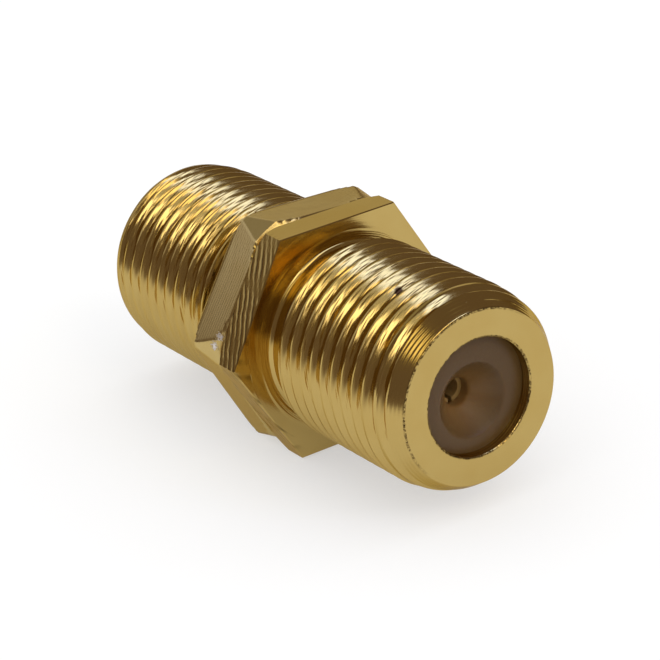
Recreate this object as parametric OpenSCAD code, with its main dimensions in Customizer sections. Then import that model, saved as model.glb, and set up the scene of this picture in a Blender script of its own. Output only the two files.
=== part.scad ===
// F coupler: two threaded F ports on one turned shell, with a hex flange and a jam nut.
// The axis lies along X, the front port faces +X, and two hex flats lie level.
// The threads are drawn as rings with the thread's pitch and section. All sizes are in millimetres.

/* [Thread] */
// Major diameter of both port threads (3/8 inch)
thread_d = 9.525; // [9.2:0.005:10]
// Threads per inch
threads_per_inch = 32; // [28:1:36]
// Depth of the thread below its crests
thread_depth = 0.4875; // [0.3:0.0025:0.55]
// Width of the flat on the crests
crest_flat = 0.1; // [0.05:0.01:0.15]
// Distance from the front face to the first groove of the front thread
front_groove = 0.31; // [0.1:0.01:0.7]
// Distance from the rear face to the first groove of the rear thread
rear_groove = 0.47; // [0.1:0.01:0.7]
// Radial clearance between the nut's bore and the thread crests
thread_gap = 0.05; // [0.01:0.01:0.1]

/* [Shell] */
// Length of the front barrel, from its face to the flange
front_l = 10; // [7:0.1:16]
// Length of the rear barrel, from its face to the flange
rear_l = 12.6; // [9:0.1:20]
// Height of the flange's flats above the thread crests
flange_rise = 0.69; // [0.5:0.01:2.5]
// Thickness of the flange
flange_t = 1.55; // [1:0.05:3]
// Depth to which the flange's corners are turned off on its back face
flange_turned_depth = 0.4; // [0.1:0.05:0.6]
// Length of the turned part of the flange's corners
flange_turned_l = 0.35; // [0.1:0.05:0.8]
// Width of the relief groove's floor and fillet beside the flange
relief_l = 0.65; // [0.4:0.05:1.5]
// Depth of the relief groove below the thread crests
relief_depth = 0.55; // [0.2:0.05:0.7]
// Length of the slope from the groove's floor up to the thread
relief_slope_l = 0.3; // [0.1:0.05:0.6]
// Radius of the fillet between the relief groove and the flange
root_fillet_r = 0.25; // [0.05:0.05:0.35]

/* [Barrel noses] */
// Depth of the front nose's chamfer, measured on the radius
front_nose_depth = 0.69; // [0.3:0.01:0.9]
// Depth of the rear nose's chamfer, measured on the radius
rear_nose_depth = 0.79; // [0.3:0.01:0.9]
// Length of the steep part of each nose
nose_l = 0.8; // [0.3:0.05:1.5]
// Depth of the slow lead-in behind the steep part
lead_depth = 0.19; // [0.05:0.01:0.28]
// Length of the slow lead-in
lead_l = 1.1; // [0.5:0.05:2]

/* [Ports] */
// Wall between the thread's grooves and the hollow for the inserts
shell_wall = 0.775; // [0.6:0.025:0.875]
// Depth of the lip that holds each insert in
lip_depth = 0.75; // [0.5:0.05:1]
// Length of the lip
lip_l = 0.55; // [0.3:0.05:1]

/* [Inserts] */
// Radial play of the inserts in the hollow, in which they lie low
insert_play = 0.35; // [0.1:0.05:0.4]
// Gap left under the inserts where they lie on the hollow's wall
seat_gap = 0.03; // [0.01:0.01:0.05]
// Gap between the two inserts where they meet in the middle
insert_split = 0.1; // [0.05:0.05:0.3]
// Radius of the funnel at the insert's face
funnel_r = 1.7; // [1:0.05:2]
// Depth of the funnel
funnel_l = 1.2; // [0.6:0.05:2]
// Radius of the hole that the cable's pin goes through
pin_hole_r = 0.65; // [0.6:0.05:0.9]
// Length of that hole behind the funnel
pin_hole_l = 0.5; // [0.3:0.05:1]

/* [Spring contact] */
// Radius of the contact's socket bores, with the fingers relaxed
socket_r = 0.48; // [0.4:0.01:0.5]
// Depth of each socket bore
socket_l = 6; // [4:0.1:7]
// Wall of the socket
socket_wall = 0.37; // [0.2:0.01:0.4]
// Width of the slot that splits each socket into two fingers
slot_w = 0.2; // [0.1:0.05:0.3]
// Length of the slot
slot_l = 4; // [2:0.1:4]
// Radius of the collar that locates the contact between the inserts
collar_r = 1.6; // [1.3:0.05:2]
// Length of the collar
collar_l = 0.8; // [0.6:0.05:1.5]
// Gap around the contact in the inserts
contact_gap = 0.05; // [0.03:0.01:0.1]

/* [Jam nut] */
// Wall of the nut between its thread and its flats
nut_wall = 0.64; // [0.5:0.01:2.5]
// Thickness of the nut
nut_t = 2.35; // [1.5:0.05:4]
// Depth to which the nut's corners are turned off towards the flange
nut_turned_depth = 0.35; // [0.1:0.05:0.6]
// Depth to which they are turned off at the nut's back
nut_back_depth = 0.05; // [0.02:0.01:0.1]
// Length of the bevel on the nut's front face
nut_bevel_l = 0.3; // [0.1:0.05:0.6]
// Depth of that bevel, measured on the radius. The back bevel starts at the same radius, as steep
nut_bevel_depth = 0.45; // [0.1:0.05:0.5]
// Depth of the countersink in each face of the nut
countersink = 0.35; // [0.1:0.05:0.5]
// Angle through which the tightened nut stands off the flange's flats
nut_turn = -2.5; // [-5:0.5:5]

/* [Hidden] */
$fn = 96;
FILLET_STEPS = 6;
CUT = 1;
INCH = 25.4;
FLANK_ANGLE = 30;

thread_r = thread_d / 2;
pitch = INCH / threads_per_inch;
groove_half = (pitch - crest_flat) / 2;
root_r = thread_r - thread_depth;
cavity_r = root_r - shell_wall;
port_r = cavity_r - lip_depth;
nut_bore_r = thread_r + thread_gap;
flange_af = 2 * (thread_r + flange_rise);
nut_af = 2 * (nut_bore_r + nut_wall);
relief_r = thread_r - relief_depth;
front_x = (front_l + flange_t + rear_l) / 2;
rear_x = -front_x;
flange_front_x = front_x - front_l;
flange_back_x = flange_front_x - flange_t;
insert_r = cavity_r - insert_play;
insert_drop = insert_play - seat_gap;
cavity_l = 2 * (front_x - lip_l);
insert_l = (cavity_l - insert_split) / 2;
collar_half = collar_l / 2;
socket_outer_r = socket_r + socket_wall;
socket_mouth_x = front_x - lip_l - funnel_l - pin_hole_l - contact_gap;

// Points from a barrel's nose inwards, as [radius, distance from the barrel's face].
function nose_points(depth) = [
    [thread_r - depth, 0],
    [thread_r - lead_depth, nose_l],
    [thread_r, nose_l + lead_l],
];

// The fillet from the relief groove up to the flange, as [radius, x].
function fillet_points() = [
    for (i = [0:FILLET_STEPS]) let (a = 90 * i / FILLET_STEPS)
        [relief_r + root_fillet_r * (1 - cos(a)),
         flange_front_x + root_fillet_r * (1 - sin(a))]
];

// The section of one groove round x, as [radius, x]. It runs on past the crests.
function groove_points(x) = let (
    flank_l = thread_depth * tan(FLANK_ANGLE), over_l = CUT * tan(FLANK_ANGLE)
) [
    [root_r, x - groove_half + flank_l],
    [root_r, x + groove_half - flank_l],
    [thread_r + CUT, x + groove_half + over_l],
    [thread_r + CUT, x - groove_half - over_l],
];

// Turns an outline of [radius, x] points round the X axis.
module turned(points) {
    rotate([0, 90, 0]) rotate_extrude() polygon(points);
}

// A round bar along X from x = low to x = high.
module bar(r, low, high) {
    translate([low, 0, 0]) rotate([0, 90, 0]) cylinder(r = r, h = high - low);
}

// A cone along X, from radius r_low at x = low to radius r_high at x = high.
module taper(r_low, r_high, low, high) {
    translate([low, 0, 0]) rotate([0, 90, 0]) cylinder(r1 = r_low, r2 = r_high, h = high - low);
}

// The corner radius of a hexagon, from its distance across the flats.
function corner_radius(af) = af / sqrt(3);

// A hexagonal bar along X with two flats level.
module hex_bar(af, low, high) {
    translate([low, 0, 0]) rotate([0, 90, 0]) rotate([0, 0, 30])
        cylinder(r = corner_radius(af), h = high - low, $fn = 6);
}

module barrels() {
    front = nose_points(front_nose_depth);
    rear = nose_points(rear_nose_depth);
    relief_x = flange_front_x + relief_l;
    flange_middle_x = flange_front_x - flange_t / 2;
    fillet = fillet_points();
    turned(concat(
        [[0, rear_x]],
        [for (p = rear) [p[0], rear_x + p[1]]],
        [[thread_r, flange_middle_x], [relief_r + root_fillet_r, flange_middle_x]],
        [for (i = [FILLET_STEPS:-1:0]) fillet[i]],
        [[relief_r, relief_x], [thread_r, relief_x + relief_slope_l]],
        [for (i = [len(front) - 1:-1:0]) [front[i][0], front_x - front[i][1]]],
        [[0, front_x]]
    ));
}

// The grooves of both threads. The last front groove runs out in the relief groove.
module grooves() {
    for (distance = [front_groove:pitch:front_l - relief_l - relief_slope_l])
        turned(groove_points(front_x - distance));
    for (distance = [rear_groove:pitch:rear_l - groove_half])
        turned(groove_points(rear_x + distance));
}

module flange() {
    corner_r = corner_radius(flange_af);
    turned_end_x = flange_back_x + flange_turned_l;
    intersection() {
        hex_bar(flange_af, flange_back_x, flange_front_x);
        turned([
            [0, flange_back_x],
            [corner_r - flange_turned_depth, flange_back_x],
            [corner_r, turned_end_x],
            [corner_r + CUT, turned_end_x],
            [corner_r + CUT, flange_front_x + CUT],
            [0, flange_front_x + CUT],
        ]);
    }
}

module body() {
    color("goldenrod") difference() {
        union() {
            difference() {
                barrels();
                grooves();
            }
            flange();
        }
        bar(port_r, rear_x - CUT, front_x + CUT);
        bar(cavity_r, rear_x + lip_l, front_x - lip_l);
    }
}

module hex_nut() {
    back_x = flange_back_x - nut_t;
    turned_r = corner_radius(nut_af) - nut_turned_depth;
    face_r = turned_r - nut_bevel_depth;
    back_r = corner_radius(nut_af) - nut_back_depth;
    back_bevel_l = nut_bevel_l * (back_r - face_r) / nut_bevel_depth;
    color("gold") difference() {
        intersection() {
            rotate([nut_turn, 0, 0]) hex_bar(nut_af, back_x, flange_back_x);
            turned([
                [0, back_x],
                [face_r, back_x],
                [back_r, back_x + back_bevel_l],
                [turned_r, flange_back_x - nut_bevel_l],
                [face_r, flange_back_x],
                [0, flange_back_x],
            ]);
        }
        bar(nut_bore_r, back_x - CUT, flange_back_x + CUT);
        taper(nut_bore_r + countersink, nut_bore_r, back_x, back_x + countersink);
        taper(nut_bore_r, nut_bore_r + countersink, flange_back_x - countersink, flange_back_x);
    }
}

// The front insert. It holds the front half of the contact.
module insulator() {
    face_x = front_x - lip_l;
    meet_x = face_x - insert_l;
    hole_x = face_x - funnel_l;
    pocket_x = hole_x - pin_hole_l;
    translate([0, 0, -insert_drop]) difference() {
        bar(insert_r, meet_x, face_x);
        taper(pin_hole_r, funnel_r, hole_x, face_x);
        bar(pin_hole_r, pocket_x - CUT, hole_x);
        bar(socket_outer_r + contact_gap, meet_x - CUT, pocket_x);
        bar(collar_r + contact_gap, meet_x - CUT, collar_half + contact_gap);
    }
}

module front_insulator() {
    color("tan") insulator();
}

module rear_insulator() {
    color("tan") mirror([1, 0, 0]) insulator();
}

// One end of the contact: a split socket whose mouth faces +X.
module socket_cut() {
    bar(socket_r, socket_mouth_x - socket_l, socket_mouth_x + CUT);
    translate([socket_mouth_x - slot_l, -slot_w / 2, -socket_outer_r - CUT])
        cube([slot_l + CUT, slot_w, 2 * (socket_outer_r + CUT)]);
}

module contact() {
    color("peru") translate([0, 0, -insert_drop]) difference() {
        union() {
            bar(socket_outer_r, -socket_mouth_x, socket_mouth_x);
            bar(collar_r, -collar_half, collar_half);
        }
        socket_cut();
        mirror([1, 0, 0]) socket_cut();
    }
}

body();
hex_nut();
front_insulator();
rear_insulator();
contact();
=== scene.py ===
"""Finish, lighting and camera for a threaded F coupler, laid out as an add-on with one operator per piece."""

import math

import bmesh
import bpy
from bpy.props import FloatProperty, FloatVectorProperty, IntProperty, PointerProperty
from mathutils import Matrix, Vector


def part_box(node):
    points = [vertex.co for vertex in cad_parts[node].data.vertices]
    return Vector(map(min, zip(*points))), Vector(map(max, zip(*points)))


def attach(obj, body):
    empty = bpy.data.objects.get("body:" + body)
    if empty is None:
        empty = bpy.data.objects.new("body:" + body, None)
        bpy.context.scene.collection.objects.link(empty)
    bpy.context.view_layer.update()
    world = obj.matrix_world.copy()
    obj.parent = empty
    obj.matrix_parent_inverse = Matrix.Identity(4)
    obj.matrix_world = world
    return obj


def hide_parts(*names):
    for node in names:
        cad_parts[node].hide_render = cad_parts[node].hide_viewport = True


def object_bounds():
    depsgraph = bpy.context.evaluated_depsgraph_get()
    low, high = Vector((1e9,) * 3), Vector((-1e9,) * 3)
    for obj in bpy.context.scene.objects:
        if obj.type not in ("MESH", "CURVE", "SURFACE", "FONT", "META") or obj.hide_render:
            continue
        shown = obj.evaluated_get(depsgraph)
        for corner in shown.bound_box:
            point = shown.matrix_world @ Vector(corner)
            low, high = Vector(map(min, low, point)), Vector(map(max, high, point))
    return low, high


bl_info = {
    "name": "F coupler",
    "version": (1, 0, 0),
    "blender": (4, 5, 0),
    "location": "3D View > Sidebar > F coupler",
    "description": "Builds the threaded shell, jam nut, inserts and contact of an F coupler",
    "category": "Object",
}

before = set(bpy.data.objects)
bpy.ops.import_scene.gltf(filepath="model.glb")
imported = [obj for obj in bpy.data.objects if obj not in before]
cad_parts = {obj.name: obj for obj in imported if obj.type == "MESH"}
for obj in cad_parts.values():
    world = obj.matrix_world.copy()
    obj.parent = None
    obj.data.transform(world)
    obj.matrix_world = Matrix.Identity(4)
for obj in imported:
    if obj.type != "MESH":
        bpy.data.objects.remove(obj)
CAD_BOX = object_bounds()

MM = 0.001
BODY_LOW, BODY_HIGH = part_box("body")
NUT_LOW, NUT_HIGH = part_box("hex_nut")
INSERT_LOW, INSERT_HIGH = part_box("front_insulator")
CONTACT_LOW, CONTACT_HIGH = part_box("contact")
FRONT_X = BODY_HIGH[0] / MM
REAR_X = BODY_LOW[0] / MM
FLANGE_BACK_X = NUT_HIGH[0] / MM
NUT_BACK_X = NUT_LOW[0] / MM
FLANGE_FLAT_R = BODY_HIGH[2] / MM
INSERT_R = (INSERT_HIGH[2] - INSERT_LOW[2]) / 2 / MM
INSERT_Z = (INSERT_HIGH[2] + INSERT_LOW[2]) / 2 / MM
INSERT_FACE_X = INSERT_HIGH[0] / MM
INSERT_MEET_X = INSERT_LOW[0] / MM
COLLAR_R = (CONTACT_HIGH[2] - CONTACT_LOW[2]) / 2 / MM
FULL_TURN = 2 * math.pi
HEX_STEP = math.pi / 3
FLANK_ANGLE = math.radians(30)
FLANK_STATIONS = (0.04, 0.3, 0.6, 0.9, 1.0)

# Where the marks on the finishes lie, in millimetres
FLANGE_HALF = 0.8
FLANGE_MIDDLE_X = FLANGE_BACK_X + FLANGE_HALF
FLANGE_INNER_R = 4.79
MOUTH_RIM_R = 2.79
NOSE_RIM_R = 4.04
PIT_PLACE = (8.43, -1.28, 4.32)
# The pale rub on the nut's corner also carries a painted highlight along that corner edge.
UPPER_RUB_GLINT_PLACE = (0.2, -5.7, 1.0)
LOWER_RUB_GLINT_PLACE = (0.0, -5.85, 0.55)
RIB_SPACING = 0.34
RIB_LEAN = math.radians(23)

# The stage. Angles are in degrees, distances of lamps, cards and camera in metres
ROOM_SHADE = (0.165, 0.125, 0.105)
LAMP_DISTANCE = 0.6
CARD_DISTANCE = 0.7
FLOOR_NEAR = 29.0
FLOOR_FAR = 53.0
FLOOR_LIFT = 0.50
FLOOR_LIFT_IN_METAL = 0.30
CAMERA_AZIMUTH = -32.392
CAMERA_ELEVATION = 23.944
CAMERA_ROLL = -5.597
CAMERA_DISTANCE = 0.126985
CAMERA_TARGET = Vector((1.072, 0.195, -0.42))
CAMERA_LENS = 149.24
CAMERA_SHIFT = (-0.01553, 0.00229)


def length(name, text, millimetres, low=0.0, high=50.0):
    """A size property in metres, with its default given in millimetres."""
    return FloatProperty(
        name=name, description=text, default=millimetres * MM, min=low * MM, max=high * MM,
        unit="LENGTH", precision=5,
    )


def columns(name, text, default):
    """A property for the number of columns of faces round a piece."""
    return IntProperty(name=name, description=text, default=default, min=32, max=960)


def colour(name, text, value):
    """A colour property."""
    return FloatVectorProperty(
        name=name, description=text, default=value, min=0.0, max=1.0, size=3, subtype="COLOR"
    )


class CouplerShellSizes(bpy.types.PropertyGroup):
    """Sizes of the shell's threads, noses, relief and flange."""

    pitch: length("Thread pitch", "Distance from one crest to the next", 25.4 / 32)
    crest_r: length("Crest radius", "Radius of the thread crests", 9.525 / 2)
    thread_depth: length("Thread depth", "Depth of the groove below the crests", 0.4875)
    crest_flat: length("Crest flat", "Width of the flat on each crest", 0.1)
    root_fill: length("Root fill", "Depth by which the plated roots are filled", 0.06)
    front_phase: length("Front thread start", "Place of a front crest at the zero angle", 12.753)
    rear_phase: length("Rear thread start", "Place of a rear crest at the zero angle", 12.401)
    flange_t: length("Flange thickness", "Thickness of the hex flange", 1.55)
    turned_depth: length("Flange turning depth", "Depth turned off the flange's back corners", 0.4)
    turned_l: length("Flange turning length", "Length of the turned corners", 0.35)
    relief_l: length("Relief width", "Width of the relief groove and its fillet", 0.65)
    relief_depth: length("Relief depth", "Depth of the relief groove below the crests", 0.55)
    relief_slope_l: length("Relief slope", "Length of the slope up to the thread", 0.3)
    root_fillet_r: length("Root fillet", "Radius of the fillet against the flange", 0.25)
    front_nose_depth: length("Front nose depth", "Depth of the front nose's chamfer", 0.69)
    rear_nose_depth: length("Rear nose depth", "Depth of the rear nose's chamfer", 0.79)
    nose_l: length("Nose length", "Length of the steep part of each nose", 0.8)
    lead_depth: length("Lead-in depth", "Depth of the slow lead-in", 0.19)
    lead_l: length("Lead-in length", "Length of the slow lead-in", 1.1)
    port_r: length("Port radius", "Radius of each port's mouth", 2.75)
    lip_l: length("Lip length", "Length of the lip that holds each insert", 0.55)
    cavity_r: length("Hollow radius", "Radius of the hollow behind the lips", 3.5)
    edge: length("Edge break", "Width of the break on machined edges", 0.05)
    steps: columns("Steps", "Columns of faces round the shell", 192)


class CouplerNutSizes(bpy.types.PropertyGroup):
    """Sizes of the jam nut."""

    flat_r: length("Flat distance", "Distance from the axis to each flat", 5.4525)
    bore_r: length("Bore radius", "Radius of the nut's thread crests", 4.8125)
    inner_depth: length("Inner thread depth", "Depth of the nut's thread", 0.3)
    turned_depth: length("Corner turning depth", "Depth turned off the corners at the front", 0.35)
    back_depth: length("Back turning depth", "Depth turned off the corners at the back", 0.05)
    bevel_l: length("Bevel length", "Length of the bevel on the front face", 0.3)
    bevel_depth: length("Bevel depth", "Depth of that bevel, on the radius", 0.45)
    round_l: length("Back round length", "Length of the rounding on the flats' back edges", 0.38)
    round_depth: length("Back round depth", "Depth of that rounding", 0.17)
    countersink: length("Countersink", "Depth of the countersink in each face", 0.35)
    edge: length("Edge break", "Width of the break on the edges of the flats", 0.07)
    turn: FloatProperty(
        name="Nut turn", description="Angle between the nut's flats and the flange's",
        default=math.radians(-2.5), subtype="ANGLE",
    )
    steps: columns("Steps", "Columns of faces round the nut", 720)
    inner_steps: columns("Thread steps", "Columns of faces round the nut's thread", 192)


class CouplerInsertSizes(bpy.types.PropertyGroup):
    """Sizes of the two plastic inserts."""

    funnel_r: length("Funnel radius", "Radius of the funnel at the insert's face", 1.7)
    funnel_l: length("Funnel depth", "Depth of the funnel", 1.2)
    hole_r: length("Pin hole radius", "Radius of the hole for the cable's pin", 0.65)
    hole_l: length("Pin hole length", "Length of that hole", 0.5)
    pocket_r: length("Pocket radius", "Radius of the pocket round the contact", 0.9)
    collar_gap: length("Collar gap", "Gap round the contact's collar", 0.05)
    collar_l: length("Collar length", "Length of the contact's collar", 0.8)
    edge: length("Edge round", "Radius of the insert's moulded edges", 0.12)
    steps: columns("Steps", "Columns of faces round an insert", 128)


class CouplerColours(bpy.types.PropertyGroup):
    """Colours of the finishes."""

    gold: colour("Gold plate", "Bright gold plate", (0.60, 0.43, 0.145))
    gold_deep: colour("Deep gold", "Gold plate in tool marks and grooves", (0.50, 0.31, 0.07))
    nut_gold: colour("Nut plate", "Plate on the nut", (0.62, 0.47, 0.19))
    gold_edge: colour("Gold at a glance", "Tint of the plate at a low angle", (0.75, 0.60, 0.36))
    # Dark residue on edges and in pits; the same colour also paints shade into the grooves between the
    # flange's ribs.
    grime_and_groove_shade: colour("Grime", "Dark residue on edges and in pits", (0.06, 0.03, 0.012))
    # Pale rub on the nut's corner, which also paints the highlight along that corner edge.
    rub_and_glint: colour("Pale rub and painted glint", "Plate rubbed pale at the nut's corner", (0.86, 0.82, 0.80))
    # Painted shade: the milky plastic is coloured the dark brown it shows deep in the shaded bore.
    insert: colour("Insert", "Milky plastic of the inserts", (0.100, 0.052, 0.014))
    # Painted shade too, lighter: the plastic round the pin hole.
    insert_lighter_shade: colour("Insert core", "Plastic near the pin hole", (0.215, 0.108, 0.029))
    contact: colour("Contact", "Dull plate of the spring contact", (0.66, 0.41, 0.13))
    floor: colour("Floor", "Pale floor", (0.50, 0.50, 0.50))


class CouplerSettings(bpy.types.PropertyGroup):
    """All the settings of the coupler."""

    shell: PointerProperty(type=CouplerShellSizes)
    nut: PointerProperty(type=CouplerNutSizes)
    insert: PointerProperty(type=CouplerInsertSizes)
    colours: PointerProperty(type=CouplerColours)


# Shapes


def angle_of(vert):
    """Angle of a vertex round the X axis, from +Y towards +Z."""
    return math.atan2(vert.co.z, vert.co.y)


def radius_of(vert):
    """Distance of a vertex from the X axis."""
    return math.hypot(vert.co.y, vert.co.z)


def put(vert, x, radius, angle):
    """Places a vertex by its distance along the axis, its radius and its angle."""
    vert.co = (x, radius * math.cos(angle), radius * math.sin(angle))


def value_at(value, angle):
    """A ring's value at an angle, from a number or a function of the angle."""
    return value(angle) if callable(value) else value


def hex_radius(flat_r, turn=0.0):
    """The outline of a hexagon with level flats, as a function of the angle."""
    def radius(angle):
        across = (angle - turn) % HEX_STEP - HEX_STEP / 2
        return flat_r / math.cos(across)
    return radius


def first_ring(bm, steps, x, radius, turn=0.0):
    """A ring of vertices round the axis. Returns its edges."""
    made = bmesh.ops.create_circle(bm, cap_ends=False, segments=steps, radius=1.0)
    for index, vert in enumerate(made["verts"]):
        angle = turn + FULL_TURN * index / steps
        put(vert, value_at(x, angle), value_at(radius, angle), angle)
    return list({edge for vert in made["verts"] for edge in vert.link_edges})


def next_ring(bm, edges, x, radius):
    """Extrudes a ring of edges to a new place along the axis and a new radius. Returns the new edges."""
    made = bmesh.ops.extrude_edge_only(bm, edges=edges)["geom"]
    for vert in (item for item in made if isinstance(item, bmesh.types.BMVert)):
        angle = angle_of(vert)
        put(vert, value_at(x, angle), value_at(radius, angle), angle)
    return [item for item in made if isinstance(item, bmesh.types.BMEdge)]


def rings(bm, edges, places):
    """Extrudes a ring through a list of (x, radius) places. Returns the last ring's edges."""
    for x, radius in places:
        edges = next_ring(bm, edges, x, radius)
    return edges


def thread_row(pitch, crest_r, root_r, crest_flat):
    """One pitch of a 60 degree thread, as (offset from the crest, radius) from crest to crest."""
    half_crest = crest_flat / 2
    flank_l = abs(crest_r - root_r) * math.tan(FLANK_ANGLE)
    half = [(0.0, crest_r), (half_crest, crest_r)]
    for share in FLANK_STATIONS:
        half.append((half_crest + flank_l * share, crest_r + (root_r - crest_r) * share))
    other_half = [(pitch - offset, radius) for offset, radius in reversed(half)]
    return half + [(pitch / 2, root_r)] + other_half


def threaded_tube(low, high, pitch, phase, crest_r, root_r, crest_flat, steps):
    """An open tube with a right-hand thread from x = low to x = high, as a bmesh."""
    bm = bmesh.new()
    row = thread_row(pitch, crest_r, root_r, crest_flat)
    first = math.floor((low - pitch - phase) / pitch)
    last = math.ceil((high - phase) / pitch) + 1
    chain = []
    for turn in range(first, last):
        for offset, radius in row:
            chain.append(bm.verts.new((phase + turn * pitch + offset, radius, 0.0)))
    links = [bm.edges.new(pair) for pair in zip(chain, chain[1:])]
    bmesh.ops.spin(
        bm, geom=chain + links, cent=(0, 0, 0), axis=(1, 0, 0), dvec=(pitch / steps, 0, 0),
        angle=FULL_TURN, steps=steps, use_merge=False, use_duplicate=False,
    )
    bmesh.ops.remove_doubles(bm, verts=bm.verts[:], dist=1e-4)
    for place, side in ((low, -1), (high, 1)):
        bmesh.ops.bisect_plane(
            bm, geom=bm.verts[:] + bm.edges[:] + bm.faces[:], dist=1e-5,
            plane_co=(place, 0, 0), plane_no=(side, 0, 0), clear_outer=True,
        )
    return bm


def open_ring(bm, x):
    """The boundary edges that lie at x."""
    return [
        edge for edge in bm.edges
        if edge.is_boundary and all(abs(vert.co.x - x) < 1e-4 for vert in edge.verts)
    ]


def joined(*parts):
    """One bmesh that holds all the parts, which are freed."""
    bm = bmesh.new()
    for part in parts:
        mesh = bpy.data.meshes.new("part")
        part.to_mesh(mesh)
        part.free()
        bm.from_mesh(mesh)
        bpy.data.meshes.remove(mesh)
    return bm


def finished_piece(bm, name, body, sharp_degrees, moved=Vector((0, 0, 0))):
    """Closes off a bmesh in millimetres as a smooth-shaded object in metres that rides on a body."""
    bmesh.ops.remove_doubles(bm, verts=bm.verts[:], dist=2e-4)
    bmesh.ops.dissolve_degenerate(bm, edges=bm.edges[:], dist=1e-4)
    bmesh.ops.recalc_face_normals(bm, faces=bm.faces[:])
    limit = math.radians(sharp_degrees)
    for face in bm.faces:
        face.smooth = True
    for edge in bm.edges:
        edge.smooth = edge.is_manifold and edge.calc_face_angle(0.0) < limit
    bmesh.ops.translate(bm, verts=bm.verts[:], vec=moved)
    bmesh.ops.scale(bm, verts=bm.verts[:], vec=(MM, MM, MM))
    mesh = bpy.data.meshes.new(name)
    bm.to_mesh(mesh)
    bm.free()
    piece = bpy.data.objects.new(name, mesh)
    bpy.context.scene.collection.objects.link(piece)
    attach(piece, body)
    return piece


def in_mm(group, *names):
    """The named sizes of a property group in millimetres."""
    return [getattr(group, name) / MM for name in names]


def shell_mesh(sizes):
    """The turned shell: two threaded barrels, the hex flange, the relief groove and the stepped bore."""
    pitch, crest_r, depth, crest_flat, root_fill, front_phase, rear_phase = in_mm(
        sizes, "pitch", "crest_r", "thread_depth", "crest_flat", "root_fill", "front_phase", "rear_phase")
    flange_t, turned_depth, turned_l = in_mm(sizes, "flange_t", "turned_depth", "turned_l")
    relief_l, relief_depth, slope_l, fillet_r = in_mm(
        sizes, "relief_l", "relief_depth", "relief_slope_l", "root_fillet_r")
    front_depth, rear_depth, nose_l, lead_depth, lead_l = in_mm(
        sizes, "front_nose_depth", "rear_nose_depth", "nose_l", "lead_depth", "lead_l")
    port_r, lip_l, cavity_r, edge = in_mm(sizes, "port_r", "lip_l", "cavity_r", "edge")
    root_r = crest_r - depth
    relief_r = crest_r - relief_depth
    flange_front_x = FLANGE_BACK_X + flange_t
    thread_end_x = flange_front_x + relief_l + slope_l

    def nose_limit(distance, nose_depth):
        """The largest radius at a distance from a barrel's face."""
        if distance < nose_l:
            return crest_r - nose_depth + (nose_depth - lead_depth) * distance / nose_l
        return crest_r - lead_depth * max(0.0, 1 - (distance - nose_l) / lead_l)

    profile = (crest_r, root_r + root_fill, crest_flat, sizes.steps)
    front = threaded_tube(thread_end_x, FRONT_X, pitch, front_phase, *profile)
    rear = threaded_tube(REAR_X, FLANGE_BACK_X, pitch, rear_phase, *profile)
    for tube, face_x, nose_depth in ((front, FRONT_X, front_depth), (rear, REAR_X, rear_depth)):
        for vert in tube.verts:
            limit = nose_limit(abs(face_x - vert.co.x), nose_depth)
            if radius_of(vert) > limit:
                put(vert, vert.co.x, limit, angle_of(vert))
    bm = joined(front, rear)

    flange_r = hex_radius(FLANGE_FLAT_R)
    corner_r = FLANGE_FLAT_R / math.cos(HEX_STEP / 2)
    turned_r = corner_r - turned_depth

    def turned_x(angle):
        """Where the turned corner meets the flat."""
        share = (flange_r(angle) - turned_r) / turned_depth
        return FLANGE_BACK_X + max(edge, turned_l * share)

    fillet = [
        (flange_front_x + fillet_r * (1 - math.sin(a)), relief_r + fillet_r * (1 - math.cos(a)))
        for a in (math.radians(18 * step) for step in range(6))
    ]
    flange_back = rings(bm, open_ring(bm, thread_end_x), [
        (flange_front_x + relief_l, relief_r),
        *fillet,
        (flange_front_x, FLANGE_FLAT_R - 0.4),
        (flange_front_x, lambda a: flange_r(a) - edge),
        (flange_front_x - edge, flange_r),
        (turned_x, flange_r),
        (FLANGE_BACK_X, lambda a: min(flange_r(a) - edge, turned_r)),
        (FLANGE_BACK_X, crest_r + 0.1),
    ])
    bmesh.ops.bridge_loops(bm, edges=flange_back + open_ring_inside(bm, FLANGE_BACK_X, crest_r + 0.05))
    middles = []
    for face_x, inwards in ((FRONT_X, -1), (REAR_X, 1)):
        middles += rings(bm, open_ring(bm, face_x), [
            (face_x, port_r + edge),
            (face_x + inwards * edge, port_r),
            (face_x + inwards * lip_l, port_r),
            (face_x + inwards * lip_l, cavity_r),
            (-inwards * 0.05, cavity_r),
        ])
    bmesh.ops.bridge_loops(bm, edges=middles)
    return bm


def open_ring_inside(bm, x, radius):
    """The boundary edges at x that lie within a radius."""
    return [edge for edge in open_ring(bm, x) if all(radius_of(vert) < radius for vert in edge.verts)]


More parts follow.
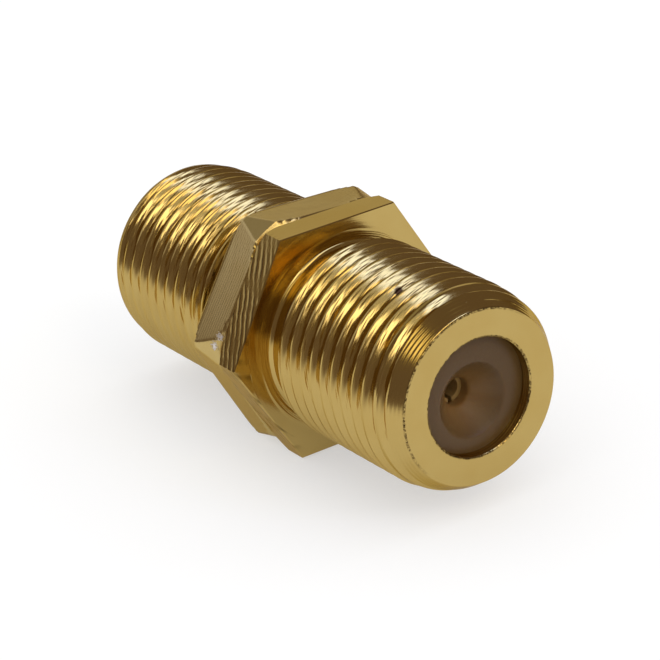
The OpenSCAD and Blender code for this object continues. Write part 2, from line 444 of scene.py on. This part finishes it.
def nut_mesh(sizes, shell):
    """The jam nut: a hexagon with turned corners, bevelled faces, countersinks and an inner thread."""
    flat_r, bore_r, inner_depth, turned_depth, back_depth = in_mm(
        sizes, "flat_r", "bore_r", "inner_depth", "turned_depth", "back_depth")
    bevel_l, bevel_depth, sink, edge = in_mm(
        sizes, "bevel_l", "bevel_depth", "countersink", "edge")
    round_l, round_depth = in_mm(sizes, "round_l", "round_depth")
    pitch, rear_phase, crest_flat = in_mm(shell, "pitch", "rear_phase", "crest_flat")
    outline = hex_radius(flat_r, sizes.turn)
    corner_r = flat_r / math.cos(HEX_STEP / 2)
    turned_r = corner_r - turned_depth
    face_r = turned_r - bevel_depth
    back_r = corner_r - back_depth
    bevel_slope = bevel_depth / bevel_l
    cone_low = NUT_BACK_X + (back_r - face_r) / bevel_slope
    cone_high = FLANGE_BACK_X - bevel_l

    def turned_limit(x):
        """The radius to which the nut is turned at x."""
        if x < cone_low:
            return face_r + (x - NUT_BACK_X) * bevel_slope
        if x > cone_high:
            return turned_r + (cone_high - x) * bevel_slope
        return back_r + (turned_r - back_r) * (x - cone_low) / (cone_high - cone_low)

    def rounded_depth(x):
        """How far the flats are rounded off near the nut's back and broken near its front."""
        back = 1 - min(1.0, (x - NUT_BACK_X) / round_l)
        front = 1 - min(1.0, (FLANGE_BACK_X - x) / edge)
        return round_depth * back ** 2 + edge * front

    def outer_r(x):
        return lambda angle: min(outline(angle) - rounded_depth(x), turned_limit(x))

    bm = threaded_tube(
        NUT_BACK_X + sink, FLANGE_BACK_X - sink, pitch, rear_phase + pitch / 2,
        bore_r, bore_r + inner_depth, crest_flat, sizes.inner_steps)
    for face_x, inwards in ((NUT_BACK_X, 1), (FLANGE_BACK_X, -1)):
        rings(bm, open_ring(bm, face_x + inwards * sink), [(face_x, bore_r + sink)])
    outside = bmesh.new()
    mouth_r = bore_r + sink + 0.02
    edges = first_ring(outside, sizes.steps, NUT_BACK_X, mouth_r, sizes.turn)
    stations = [0, 0.05, 0.12, 0.2, 0.29, 0.38, 0.48, 0.6, 0.8, 1.0, 1.2, 1.4, 1.6, 1.8]
    backs = [NUT_BACK_X + station for station in stations]
    fronts = [cone_high, cone_high + 0.1, cone_high + 0.2, FLANGE_BACK_X - edge, FLANGE_BACK_X]
    rings(outside, edges, [
        *((x, outer_r(x)) for x in backs + fronts),
        (FLANGE_BACK_X, mouth_r),
    ])
    bm = joined(bm, outside)
    for face_x in (NUT_BACK_X, FLANGE_BACK_X):
        bmesh.ops.bridge_loops(bm, edges=open_ring(bm, face_x))
    return bm


def insert_mesh(sizes):
    """The front insert: a plug with a funnel and a pin hole in its face and a stepped pocket behind."""
    funnel_r, funnel_l, hole_r, hole_l, pocket_r, gap, collar_l, edge = in_mm(
        sizes, "funnel_r", "funnel_l", "hole_r", "hole_l", "pocket_r", "collar_gap", "collar_l", "edge")
    bm = bmesh.new()
    face_x = INSERT_FACE_X
    hole_x = face_x - funnel_l
    pocket_x = hole_x - hole_l
    collar_x = collar_l / 2 + gap
    soft = edge * 0.3
    edges = first_ring(bm, sizes.steps, INSERT_MEET_X, COLLAR_R + gap)
    rings(bm, edges, [
        (INSERT_MEET_X, INSERT_R - soft),
        (INSERT_MEET_X + soft, INSERT_R),
        (face_x - edge, INSERT_R),
        (face_x - soft, INSERT_R - soft),
        (face_x, INSERT_R - edge),
        (face_x, funnel_r + edge),
        (face_x - soft / 2, funnel_r + edge / 2),
        (face_x - edge / 2, funnel_r),
        (face_x - 2 * edge, funnel_r - 1.6 * edge),
        (hole_x + edge, hole_r + edge),
        (hole_x + soft, hole_r + soft / 2),
        (hole_x - soft, hole_r),
        (pocket_x, hole_r),
        (pocket_x, pocket_r),
        (collar_x, pocket_r),
        (collar_x, COLLAR_R + gap),
        (INSERT_MEET_X, COLLAR_R + gap),
    ])
    return bm


# Materials


def add_group(name, inputs, outputs):
    """A new shader node group with float or colour sockets. Returns (group, input node, output node)."""
    group = bpy.data.node_groups.new(name, "ShaderNodeTree")
    for label, kind, default in inputs:
        socket = group.interface.new_socket(name=label, in_out="INPUT", socket_type=kind)
        socket.default_value = default
    for label, kind in outputs:
        group.interface.new_socket(name=label, in_out="OUTPUT", socket_type=kind)
    return group, group.nodes.new("NodeGroupInput"), group.nodes.new("NodeGroupOutput")


def math_node(tree, operation, *values):
    """A Math node. Each value is a number or a socket. Returns its output."""
    node = tree.nodes.new("ShaderNodeMath")
    node.operation = operation
    for index, value in enumerate(values):
        if isinstance(value, (int, float)):
            node.inputs[index].default_value = value
        else:
            tree.links.new(value, node.inputs[index])
    return node.outputs[0]


def noise_node(tree, vector, scale, detail=2.0, roughness=0.5):
    """A Noise Texture on a vector. Returns its factor output."""
    node = tree.nodes.new("ShaderNodeTexNoise")
    tree.links.new(vector, node.inputs["Vector"])
    if isinstance(scale, (int, float)):
        node.inputs["Scale"].default_value = scale
    else:
        tree.links.new(scale, node.inputs["Scale"])
    node.inputs["Detail"].default_value = detail
    node.inputs["Roughness"].default_value = roughness
    return node.outputs["Fac"]


def range_node(tree, value, low, high, to_low=0.0, to_high=1.0):
    """A clamped Map Range node. Returns its output."""
    node = tree.nodes.new("ShaderNodeMapRange")
    tree.links.new(value, node.inputs["Value"])
    for label, number in (("From Min", low), ("From Max", high), ("To Min", to_low), ("To Max", to_high)):
        node.inputs[label].default_value = number
    return node.outputs["Result"]


def mix_colour(tree, factor, first, second, blend="MIX"):
    """A colour Mix node. Each colour is a tuple or a socket. Returns its output."""
    node = tree.nodes.new("ShaderNodeMix")
    node.data_type = "RGBA"
    node.blend_type = blend
    if isinstance(factor, (int, float)):
        node.inputs[0].default_value = factor
    else:
        tree.links.new(factor, node.inputs[0])
    for index, value in ((6, first), (7, second)):
        if isinstance(value, (tuple, list)):
            node.inputs[index].default_value = (*value[:3], 1.0)
        else:
            tree.links.new(value, node.inputs[index])
    return node.outputs[2]


def object_axes(tree):
    """Object coordinates in millimetres as (vector, x, y, z)."""
    coordinate = tree.nodes.new("ShaderNodeTexCoord")
    scale = tree.nodes.new("ShaderNodeVectorMath")
    scale.operation = "SCALE"
    scale.inputs["Scale"].default_value = 1 / MM
    tree.links.new(coordinate.outputs["Object"], scale.inputs[0])
    split = tree.nodes.new("ShaderNodeSeparateXYZ")
    tree.links.new(scale.outputs[0], split.inputs[0])
    return scale.outputs[0], *split.outputs


def polar_group():
    """Distance from the axis and angle round it, in millimetres and turns."""
    group, source, sink = add_group(
        "Round The Axis",
        [("Centre Z", "NodeSocketFloat", 0.0)],
        [("Radius", "NodeSocketFloat"), ("Turn", "NodeSocketFloat"), ("Along", "NodeSocketFloat")],
    )
    _, x, y, z = object_axes(group)
    height = math_node(group, "SUBTRACT", z, source.outputs["Centre Z"])
    y_squared = math_node(group, "MULTIPLY", y, y)
    square = math_node(group, "ADD", y_squared, math_node(group, "MULTIPLY", height, height))
    group.links.new(math_node(group, "SQRT", square), sink.inputs["Radius"])
    seam_below = math_node(group, "ARCTAN2", y, math_node(group, "MULTIPLY", height, -1.0))
    group.links.new(math_node(group, "DIVIDE", seam_below, -FULL_TURN), sink.inputs["Turn"])
    group.links.new(x, sink.inputs["Along"])
    return group


def turning_group(polar):
    """Fine turning lines that follow the thread: a height and a broad streak mask."""
    slope_share = 1.3
    stretch = 0.06
    lines_per_pitch = 5
    line_height = 0.12
    group, source, sink = add_group(
        "Turning Lines",
        [("Pitch", "NodeSocketFloat", 0.79375), ("Lines per mm", "NodeSocketFloat", 6.0)],
        [("Height", "NodeSocketFloat"), ("Streak", "NodeSocketFloat")],
    )
    place = use_group(group, polar)
    _, x, y, z = object_axes(group)
    lead = math_node(group, "MULTIPLY", place.outputs["Turn"], source.outputs["Pitch"])
    slope = math_node(group, "MULTIPLY", place.outputs["Radius"], slope_share)
    along = math_node(group, "ADD", math_node(group, "SUBTRACT", x, lead), slope)
    stretched = group.nodes.new("ShaderNodeCombineXYZ")
    group.links.new(math_node(group, "MULTIPLY", along, source.outputs["Lines per mm"]), stretched.inputs[0])
    group.links.new(math_node(group, "MULTIPLY", y, stretch), stretched.inputs[1])
    group.links.new(math_node(group, "MULTIPLY", z, stretch), stretched.inputs[2])
    turns = math_node(group, "DIVIDE", math_node(group, "SUBTRACT", x, lead), source.outputs["Pitch"])
    feed = math_node(group, "SINE", math_node(group, "MULTIPLY", turns, lines_per_pitch * FULL_TURN))
    lines = noise_node(group, stretched.outputs[0], 1.0, 2.0, 0.6)
    height = math_node(group, "ADD", lines, math_node(group, "MULTIPLY", feed, line_height))
    group.links.new(height, sink.inputs["Height"])
    group.links.new(noise_node(group, stretched.outputs[0], 0.3, 2.0), sink.inputs["Streak"])
    return group


def spot_group():
    """A ragged spot: one inside a radius round a centre, broken up by noise."""
    group, source, sink = add_group(
        "Ragged Spot",
        [("Centre", "NodeSocketVector", (0.0, 0.0, 0.0)), ("Radius", "NodeSocketFloat", 0.1),
         ("Break Up", "NodeSocketFloat", 0.5), ("Grain", "NodeSocketFloat", 8.0)],
        [("Mask", "NodeSocketFloat")],
    )
    vector, *_ = object_axes(group)
    away = group.nodes.new("ShaderNodeVectorMath")
    away.operation = "DISTANCE"
    group.links.new(vector, away.inputs[0])
    group.links.new(source.outputs["Centre"], away.inputs[1])
    share = math_node(group, "DIVIDE", away.outputs["Value"], source.outputs["Radius"])
    grain = noise_node(group, vector, source.outputs["Grain"], 3.0, 0.6)
    broken = math_node(group, "ADD", share, math_node(
        group, "MULTIPLY", math_node(group, "SUBTRACT", grain, 0.5), source.outputs["Break Up"]))
    group.links.new(range_node(group, broken, 0.6, 1.0, 1.0, 0.0), sink.inputs["Mask"])
    return group


def shared_group(name, build, *parts):
    """A node group by its name, built the first time it is asked for."""
    return bpy.data.node_groups.get(name) or build(*parts)


def polar():
    """The group with the distance from the axis and the angle round it."""
    return shared_group("Round The Axis", polar_group)


def turning():
    """The group of fine turning lines."""
    return shared_group("Turning Lines", turning_group, polar())


def spot():
    """The group that makes a ragged spot."""
    return shared_group("Ragged Spot", spot_group)


def band_mask(tree, value, middle, half_width):
    """One where a value is close to its middle, fading to zero at half_width."""
    off = math_node(tree, "ABSOLUTE", math_node(tree, "SUBTRACT", value, middle))
    return range_node(tree, off, half_width * 0.5, half_width, 1.0, 0.0)


def new_material(name):
    """A node material with only its Principled BSDF. Returns (material, tree, shader)."""
    material = bpy.data.materials.new(name)
    material.use_nodes = True
    tree = material.node_tree
    return material, tree, tree.nodes["Principled BSDF"]


def use_group(tree, group, **values):
    """Places a node group in a material with its own values. Returns the node."""
    node = tree.nodes.new("ShaderNodeGroup")
    node.node_tree = group
    for label, value in values.items():
        node.inputs[label.replace("_", " ")].default_value = value
    return node


def add_bump(tree, shader, height, depth_mm):
    """A Bump node from a height between 0 and 1 to the shader's normal, of a depth in millimetres."""
    bump = tree.nodes.new("ShaderNodeBump")
    bump.inputs["Strength"].default_value = 1.0
    bump.inputs["Distance"].default_value = depth_mm * MM
    tree.links.new(height, bump.inputs["Height"])
    tree.links.new(bump.outputs["Normal"], shader.inputs["Normal"])


def plate(name, colours, tint, roughness, pitch):
    """Gold plate over turned brass. Returns (material, tree, shader, colour, roughness, height)."""
    material, tree, shader = new_material(name)
    marks = use_group(tree, turning(), Pitch=pitch)
    vector, *_ = object_axes(tree)
    cloud = range_node(tree, noise_node(tree, vector, 0.5, 3.0), 0.35, 0.7, 0.0, 0.25)
    base = mix_colour(tree, cloud, tint, tuple(colours.gold_deep))
    rough = range_node(tree, marks.outputs["Streak"], 0.3, 0.7, roughness * 0.9, roughness * 1.15)
    shader.inputs["Metallic"].default_value = 1.0
    shader.inputs["Specular Tint"].default_value = (*colours.gold_edge, 1)
    return material, tree, shader, base, rough, marks.outputs["Height"]


def edge_grime(tree, colours, base, rough):
    """Speckled residue on the rims of both ports. Returns the new colour and roughness."""
    place = use_group(tree, polar())
    vector, _, y, z = object_axes(tree)
    radius, along = place.outputs["Radius"], place.outputs["Along"]
    from_middle = math_node(tree, "ABSOLUTE", along)
    at_face = range_node(tree, from_middle, FRONT_X - 0.12, FRONT_X - 0.08)
    mouth = band_mask(tree, radius, MOUTH_RIM_R, 0.06)
    rim = band_mask(tree, radius, NOSE_RIM_R, 0.07)
    upper_left = range_node(tree, math_node(tree, "SUBTRACT", z, y), 0.0, 3.0)
    rim = math_node(tree, "MULTIPLY", rim, upper_left)
    broken = range_node(tree, noise_node(tree, vector, 9.0, 3.0, 0.7), 0.40, 0.60)
    spotted = math_node(tree, "MULTIPLY", math_node(tree, "MAXIMUM", mouth, rim), broken)
    mask = math_node(tree, "MULTIPLY", spotted, at_face)
    dull = math_node(tree, "MAXIMUM", rough, math_node(tree, "MULTIPLY", mask, 0.5))
    return mix_colour(tree, mask, base, tuple(colours.grime_and_groove_shade)), dull


def rib_height(tree):
    """Chatter ribs on the flange's flats on the near side, slanted to the flats' long edges."""
    vector, x, y, z = object_axes(tree)
    y_down = math_node(tree, "MULTIPLY", y, -0.5)
    down = math_node(tree, "ADD", y_down, math_node(tree, "MULTIPLY", z, -0.866))
    across = math_node(
        tree, "SUBTRACT", math_node(tree, "MULTIPLY", x, math.cos(RIB_LEAN)),
        math_node(tree, "MULTIPLY", down, math.sin(RIB_LEAN)))
    uneven = math_node(tree, "MULTIPLY", noise_node(tree, vector, 0.9, 2.0), FULL_TURN)
    even = math_node(tree, "MULTIPLY", across, FULL_TURN / RIB_SPACING)
    wave = math_node(tree, "SINE", math_node(tree, "ADD", even, uneven))
    strength = range_node(tree, noise_node(tree, vector, 1.3, 1.0), 0.35, 0.6, 0.2, 1.0)
    ribs = math_node(tree, "MULTIPLY", wave, strength)
    radius = use_group(tree, polar()).outputs["Radius"]
    along_flange = band_mask(tree, x, FLANGE_MIDDLE_X, 2 * FLANGE_HALF)
    outside = range_node(tree, radius, FLANGE_FLAT_R - 0.02, FLANGE_FLAT_R)
    on_flats = math_node(tree, "MULTIPLY", along_flange, outside)
    near_side = range_node(tree, y, -4.0, -2.8, 1.0, 0.0)
    return math_node(tree, "MULTIPLY", math_node(tree, "MULTIPLY", on_flats, near_side), ribs)


def shell_height(tree, lines, ribs):
    """Turning lines on the shell, coarser on the noses and faint on the flange, with ribs and grain."""
    place = use_group(tree, polar())
    vector, *_ = object_axes(tree)
    from_middle = math_node(tree, "ABSOLUTE", place.outputs["Along"])
    on_flange = range_node(
        tree, place.outputs["Radius"], FLANGE_INNER_R, FLANGE_INNER_R + 0.1, 1.0, 0.1)
    on_noses = range_node(tree, from_middle, FRONT_X - 0.9, FRONT_X - 0.6, 1.0, 1.6)
    on_faces = range_node(tree, from_middle, FRONT_X - 0.06, FRONT_X - 0.02, 1.0, 0.3)
    height = math_node(tree, "MULTIPLY", lines, on_flange)
    height = math_node(tree, "MULTIPLY", height, math_node(tree, "MULTIPLY", on_noses, on_faces))
    height = math_node(tree, "ADD", height, math_node(tree, "MULTIPLY", ribs, -0.2))
    grain_height = range_node(tree, from_middle, FRONT_X - 0.05, FRONT_X - 0.02, 0.0, 0.14)
    grain = math_node(tree, "MULTIPLY", noise_node(tree, vector, 11.0, 2.0), grain_height)
    return math_node(tree, "ADD", height, grain)


def shell_material(colours, pitch):
    """Plate on the shell, with speckled rims, ribbed flats with painted shade in the ribs' grooves, and one
    dark pit in the front thread.
    """
    material, tree, shader, base, rough, lines = plate(
        "gold plate", colours, tuple(colours.gold), 0.15, pitch)
    base, rough = edge_grime(tree, colours, base, rough)
    pit = use_group(tree, spot(), Centre=PIT_PLACE, Radius=0.26)
    base = mix_colour(tree, pit.outputs["Mask"], base, tuple(colours.grime_and_groove_shade))
    ribs = rib_height(tree)
    # Painted shade: the grooves between the flange's ribs are darkened towards the dark colour.
    base = mix_colour(tree, range_node(tree, ribs, 0.0, 0.7, 0.0, 0.5), base, tuple(colours.grime_and_groove_shade))
    tree.links.new(base, shader.inputs["Base Color"])
    tree.links.new(rough, shader.inputs["Roughness"])
    add_bump(tree, shader, shell_height(tree, lines, ribs), 0.026)
    return material


def nut_material(colours, pitch):
    """Plate on the nut, brushed along its flats and rubbed pale at one corner, with a painted highlight along
    that corner.
    """
    material, tree, shader, base, rough, height = plate(
        "nut gold plate", colours, tuple(colours.nut_gold), 0.20, pitch)
    # Painted highlight: pale plate along one corner edge of the nut, together with a rub.
    upper = use_group(tree, spot(), Centre=UPPER_RUB_GLINT_PLACE, Radius=0.20, Break_Up=3.0, Grain=13.0)
    lower = use_group(tree, spot(), Centre=LOWER_RUB_GLINT_PLACE, Radius=0.24, Break_Up=3.0, Grain=13.0)
    mask = math_node(tree, "MAXIMUM", upper.outputs["Mask"], lower.outputs["Mask"])
    base = mix_colour(tree, mask, base, tuple(colours.rub_and_glint))
    rough = math_node(tree, "MAXIMUM", rough, math_node(tree, "MULTIPLY", mask, 0.45))
    tree.links.new(base, shader.inputs["Base Color"])
    tree.links.new(rough, shader.inputs["Roughness"])
    add_bump(tree, shader, math_node(tree, "ADD", height, math_node(tree, "MULTIPLY", mask, 2.0)), 0.006)
    return material


def insert_material(colours):
    """Milky plastic coloured dark with painted shade, the shade lighter round the pin hole."""
    material, tree, shader = new_material("milky plastic in painted shade")
    vector, *_ = object_axes(tree)
    place = use_group(tree, polar(), Centre_Z=INSERT_Z)
    # Painted shade, darker towards the insert's rim and lighter round the pin hole.
    core = range_node(tree, place.outputs["Radius"], 0.5, 1.7, 1.0, 0.0)
    base = mix_colour(tree, core, tuple(colours.insert), tuple(colours.insert_lighter_shade))
    tree.links.new(base, shader.inputs["Base Color"])
    shader.inputs["Roughness"].default_value = 0.4
    shader.inputs["Specular IOR Level"].default_value = 0.35
    shader.inputs["Subsurface Weight"].default_value = 0.45
    shader.inputs["Subsurface Radius"].default_value = (1.0, 0.6, 0.35)
    shader.inputs["Subsurface Scale"].default_value = 0.0008
    add_bump(tree, shader, noise_node(tree, vector, 6.0, 2.0), 0.01)
    return material


def contact_material(colours):
    """Dull plated spring brass."""
    material, tree, shader = new_material("contact brass")
    vector, *_ = object_axes(tree)
    cloud = noise_node(tree, vector, 3.0, 3.0)
    dark = tuple(0.5 * value for value in colours.contact)
    tree.links.new(mix_colour(tree, cloud, tuple(colours.contact), dark), shader.inputs["Base Color"])
    shader.inputs["Metallic"].default_value = 0.55
    shader.inputs["Roughness"].default_value = 0.5
    add_bump(tree, shader, cloud, 0.01)
    return material


def only_material(piece, material):
    """Gives a piece one material."""
    piece.data.materials.clear()
    piece.data.materials.append(material)


# Operators


class COUPLER_OT_shell(bpy.types.Operator):
    """Builds the threaded shell"""

    bl_idname = "coupler.shell"
    bl_label = "Shell"

    def execute(self, context):
        settings = context.scene.coupler
        piece = finished_piece(shell_mesh(settings.shell), "threaded_shell", "shell", 22)
        only_material(piece, shell_material(settings.colours, settings.shell.pitch / MM))
        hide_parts("body")
        return {"FINISHED"}


class COUPLER_OT_nut(bpy.types.Operator):
    """Builds the jam nut"""

    bl_idname = "coupler.nut"
    bl_label = "Jam nut"

    def execute(self, context):
        settings = context.scene.coupler
        piece = finished_piece(nut_mesh(settings.nut, settings.shell), "jam_nut", "nut", 22)
        only_material(piece, nut_material(settings.colours, settings.shell.pitch / MM))
        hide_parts("hex_nut")
        return {"FINISHED"}


class COUPLER_OT_inserts(bpy.types.Operator):
    """Builds the two plastic inserts"""

    bl_idname = "coupler.inserts"
    bl_label = "Inserts"

    def execute(self, context):
        settings = context.scene.coupler
        material = insert_material(settings.colours)
        for name, node, mirrored in (
            ("front_insert", "front_insulator", False),
            ("rear_insert", "rear_insulator", True),
        ):
            bm = insert_mesh(settings.insert)
            if mirrored:
                bmesh.ops.scale(bm, verts=bm.verts[:], vec=(-1, 1, 1))
            piece = finished_piece(bm, name, "shell", 40, Vector((0, 0, INSERT_Z)))
            only_material(piece, material)
            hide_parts(node)
        return {"FINISHED"}


class COUPLER_OT_contact(bpy.types.Operator):
    """Finishes the spring contact"""

    bl_idname = "coupler.contact"
    bl_label = "Spring contact"

    def execute(self, context):
        only_material(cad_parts["contact"], contact_material(context.scene.coupler.colours))
        return {"FINISHED"}


def add_object(name, data):
    """Links a new object to the scene."""
    thing = bpy.data.objects.new(name, data)
    bpy.context.scene.collection.objects.link(thing)
    return thing


def direction(azimuth, elevation):
    """Unit vector from the part towards an azimuth from +X and an elevation, in degrees."""
    a, e = math.radians(azimuth), math.radians(elevation)
    return Vector((math.cos(a) * math.cos(e), math.sin(a) * math.cos(e), math.sin(e)))


def softbox(name, azimuth, elevation, width, height, radiance, tint):
    """A rectangular lamp that faces the part, of a given brightness as the part sees it."""
    lamp = bpy.data.lights.new(name, "AREA")
    lamp.shape = "RECTANGLE"
    lamp.size, lamp.size_y = width, height
    lamp.energy = radiance * math.pi * width * height
    lamp.color = tint
    box = add_object(name, lamp)
    box.location = direction(azimuth, elevation) * LAMP_DISTANCE
    box.rotation_euler = direction(azimuth, elevation).to_track_quat("Z", "Y").to_euler()


def card(name, azimuths, elevations, shade):
    """A curved studio card between two azimuths and two elevations, which only reflections see."""
    bm = bmesh.new()
    bmesh.ops.create_grid(bm, x_segments=24, y_segments=12, size=0.5)
    for vert in bm.verts:
        azimuth = azimuths[0] + (azimuths[1] - azimuths[0]) * (vert.co.x + 0.5)
        elevation = elevations[0] + (elevations[1] - elevations[0]) * (vert.co.y + 0.5)
        vert.co = direction(azimuth, elevation) * CARD_DISTANCE
    mesh = bpy.data.meshes.new(name)
    bm.to_mesh(mesh)
    bm.free()
    panel = add_object(name, mesh)
    material, _, shader = new_material(name)
    shader.inputs["Base Color"].default_value = (0, 0, 0, 1)
    shader.inputs["Specular IOR Level"].default_value = 0.0
    shader.inputs["Emission Color"].default_value = (*shade, 1)
    shader.inputs["Emission Strength"].default_value = 1.0
    only_material(panel, material)
    panel.visible_camera = False
    panel.visible_diffuse = False
    panel.visible_shadow = False
    panel.visible_transmission = False


def floor_material(colours):
    """Pale floor. The camera sees it white, and the metal sees it end a little way out."""
    material, tree, shader = new_material("pale floor")
    vector, x, y, _ = object_axes(tree)
    cloud = noise_node(tree, vector, 0.02, 2.0)
    pale = tuple(colours.floor)
    less_pale = tuple(0.985 * value for value in pale)
    path = tree.nodes.new("ShaderNodeLightPath")
    facing = direction(CAMERA_AZIMUTH, 0)
    x_towards = math_node(tree, "MULTIPLY", x, facing.x)
    towards = math_node(tree, "ADD", x_towards, math_node(tree, "MULTIPLY", y, facing.y))
    in_metal = path.outputs["Is Glossy Ray"]
    far = math_node(tree, "MULTIPLY", in_metal, range_node(tree, towards, FLOOR_NEAR, FLOOR_FAR))
    near_shade = mix_colour(tree, cloud, pale, less_pale)
    tree.links.new(mix_colour(tree, far, near_shade, ROOM_SHADE), shader.inputs["Base Color"])
    shader.inputs["Roughness"].default_value = 0.9
    shader.inputs["Specular IOR Level"].default_value = 0.0
    shader.inputs["Emission Color"].default_value = (1, 1, 1, 1)
    near = math_node(tree, "MULTIPLY", math_node(tree, "SUBTRACT", 1.0, far), FLOOR_LIFT_IN_METAL)
    to_metal = math_node(tree, "MULTIPLY", in_metal, near)
    to_camera = math_node(tree, "MULTIPLY", path.outputs["Is Camera Ray"], FLOOR_LIFT)
    tree.links.new(math_node(tree, "ADD", to_metal, to_camera), shader.inputs["Emission Strength"])
    return material


def build_world():
    """Even pale light, brighter where the camera looks straight at it."""
    world = bpy.data.worlds.new("studio")
    bpy.context.scene.world = world
    world.use_nodes = True
    tree = world.node_tree
    background = tree.nodes["Background"]
    path = tree.nodes.new("ShaderNodeLightPath")
    shade = mix_colour(tree, path.outputs["Is Glossy Ray"], (1, 1, 1), ROOM_SHADE)
    tree.links.new(shade, background.inputs["Color"])


def build_camera():
    """The camera, placed by its direction, roll, distance and the point it looks at."""
    camera = bpy.data.cameras.new("camera")
    camera.sensor_width = 36.0
    camera.lens = CAMERA_LENS
    camera.shift_x, camera.shift_y = CAMERA_SHIFT
    camera.clip_start = 0.001
    camera.clip_end = 10.0
    eye = add_object("camera", camera)
    back = direction(CAMERA_AZIMUTH, CAMERA_ELEVATION)
    right = Vector((0, 0, 1)).cross(back).normalized()
    up = back.cross(right)
    roll = math.radians(CAMERA_ROLL)
    side = right * math.cos(roll) + up * math.sin(roll)
    top = up * math.cos(roll) - right * math.sin(roll)
    turn = Matrix((side, top, back)).transposed().to_4x4()
    eye.matrix_world = Matrix.Translation(CAMERA_TARGET * MM + back * CAMERA_DISTANCE) @ turn
    bpy.context.scene.camera = eye


class COUPLER_OT_stage(bpy.types.Operator):
    """Sets up the floor, the light and the camera"""

    bl_idname = "coupler.stage"
    bl_label = "Floor, light and camera"

    def execute(self, context):
        bm = bmesh.new()
        bmesh.ops.create_grid(bm, x_segments=1, y_segments=1, size=1.5)
        mesh = bpy.data.meshes.new("floor")
        bm.to_mesh(mesh)
        bm.free()
        floor = add_object("floor", mesh)
        floor.location.z = CAD_BOX[0][2]
        only_material(floor, floor_material(context.scene.coupler.colours))
        build_world()
        softbox("key", 24, 29.5, width=0.165, height=0.15, radiance=4.2, tint=(0.42, 0.53, 1.0))
        softbox("window", -8, 21, width=0.14, height=0.21, radiance=2.7, tint=(1.0, 0.94, 0.84))
        softbox("high_window", 3, 44, width=0.24, height=0.16, radiance=2.4, tint=(1.0, 0.86, 0.58))
        card("between", (-6, 16), (20, 34), shade=(0.58, 0.58, 0.58))
        card("nose_glow", (-72, -38), (38, 68), shade=(1.7, 1.45, 0.8))
        card("back_wall", (120, 228), (14.5, 37), shade=(0.63, 0.63, 0.74))
        card("back_ceiling", (120, 228), (37.5, 72), shade=(0.34, 0.32, 0.30))
        build_camera()
        context.scene.view_settings.view_transform = "Standard"
        return {"FINISHED"}


class COUPLER_PT_panel(bpy.types.Panel):
    """Lists the coupler's sizes, colours and pieces"""

    bl_idname = "COUPLER_PT_panel"
    bl_label = "F coupler"
    bl_space_type = "VIEW_3D"
    bl_region_type = "UI"
    bl_category = "F coupler"

    def draw(self, context):
        settings = context.scene.coupler
        for group in (settings.shell, settings.nut, settings.insert, settings.colours):
            column = self.layout.column(align=True)
            for name in group.bl_rna.properties.keys():
                if name not in ("rna_type", "name"):
                    column.prop(group, name)
        for operator in OPERATORS:
            self.layout.operator(operator.bl_idname)


OPERATORS = (COUPLER_OT_stage, COUPLER_OT_shell, COUPLER_OT_nut, COUPLER_OT_inserts, COUPLER_OT_contact)
CLASSES = (
    CouplerShellSizes, CouplerNutSizes, CouplerInsertSizes, CouplerColours, CouplerSettings,
    *OPERATORS, COUPLER_PT_panel,
)


def register():
    for cls in CLASSES:
        bpy.utils.register_class(cls)
    bpy.types.Scene.coupler = PointerProperty(type=CouplerSettings)


def unregister():
    del bpy.types.Scene.coupler
    for cls in reversed(CLASSES):
        bpy.utils.unregister_class(cls)


def main():
    """Builds the stage and every piece."""
    register()
    bpy.ops.coupler.stage()
    bpy.ops.coupler.shell()
    bpy.ops.coupler.nut()
    bpy.ops.coupler.inserts()
    bpy.ops.coupler.contact()


if __name__ == "__main__":
    main()
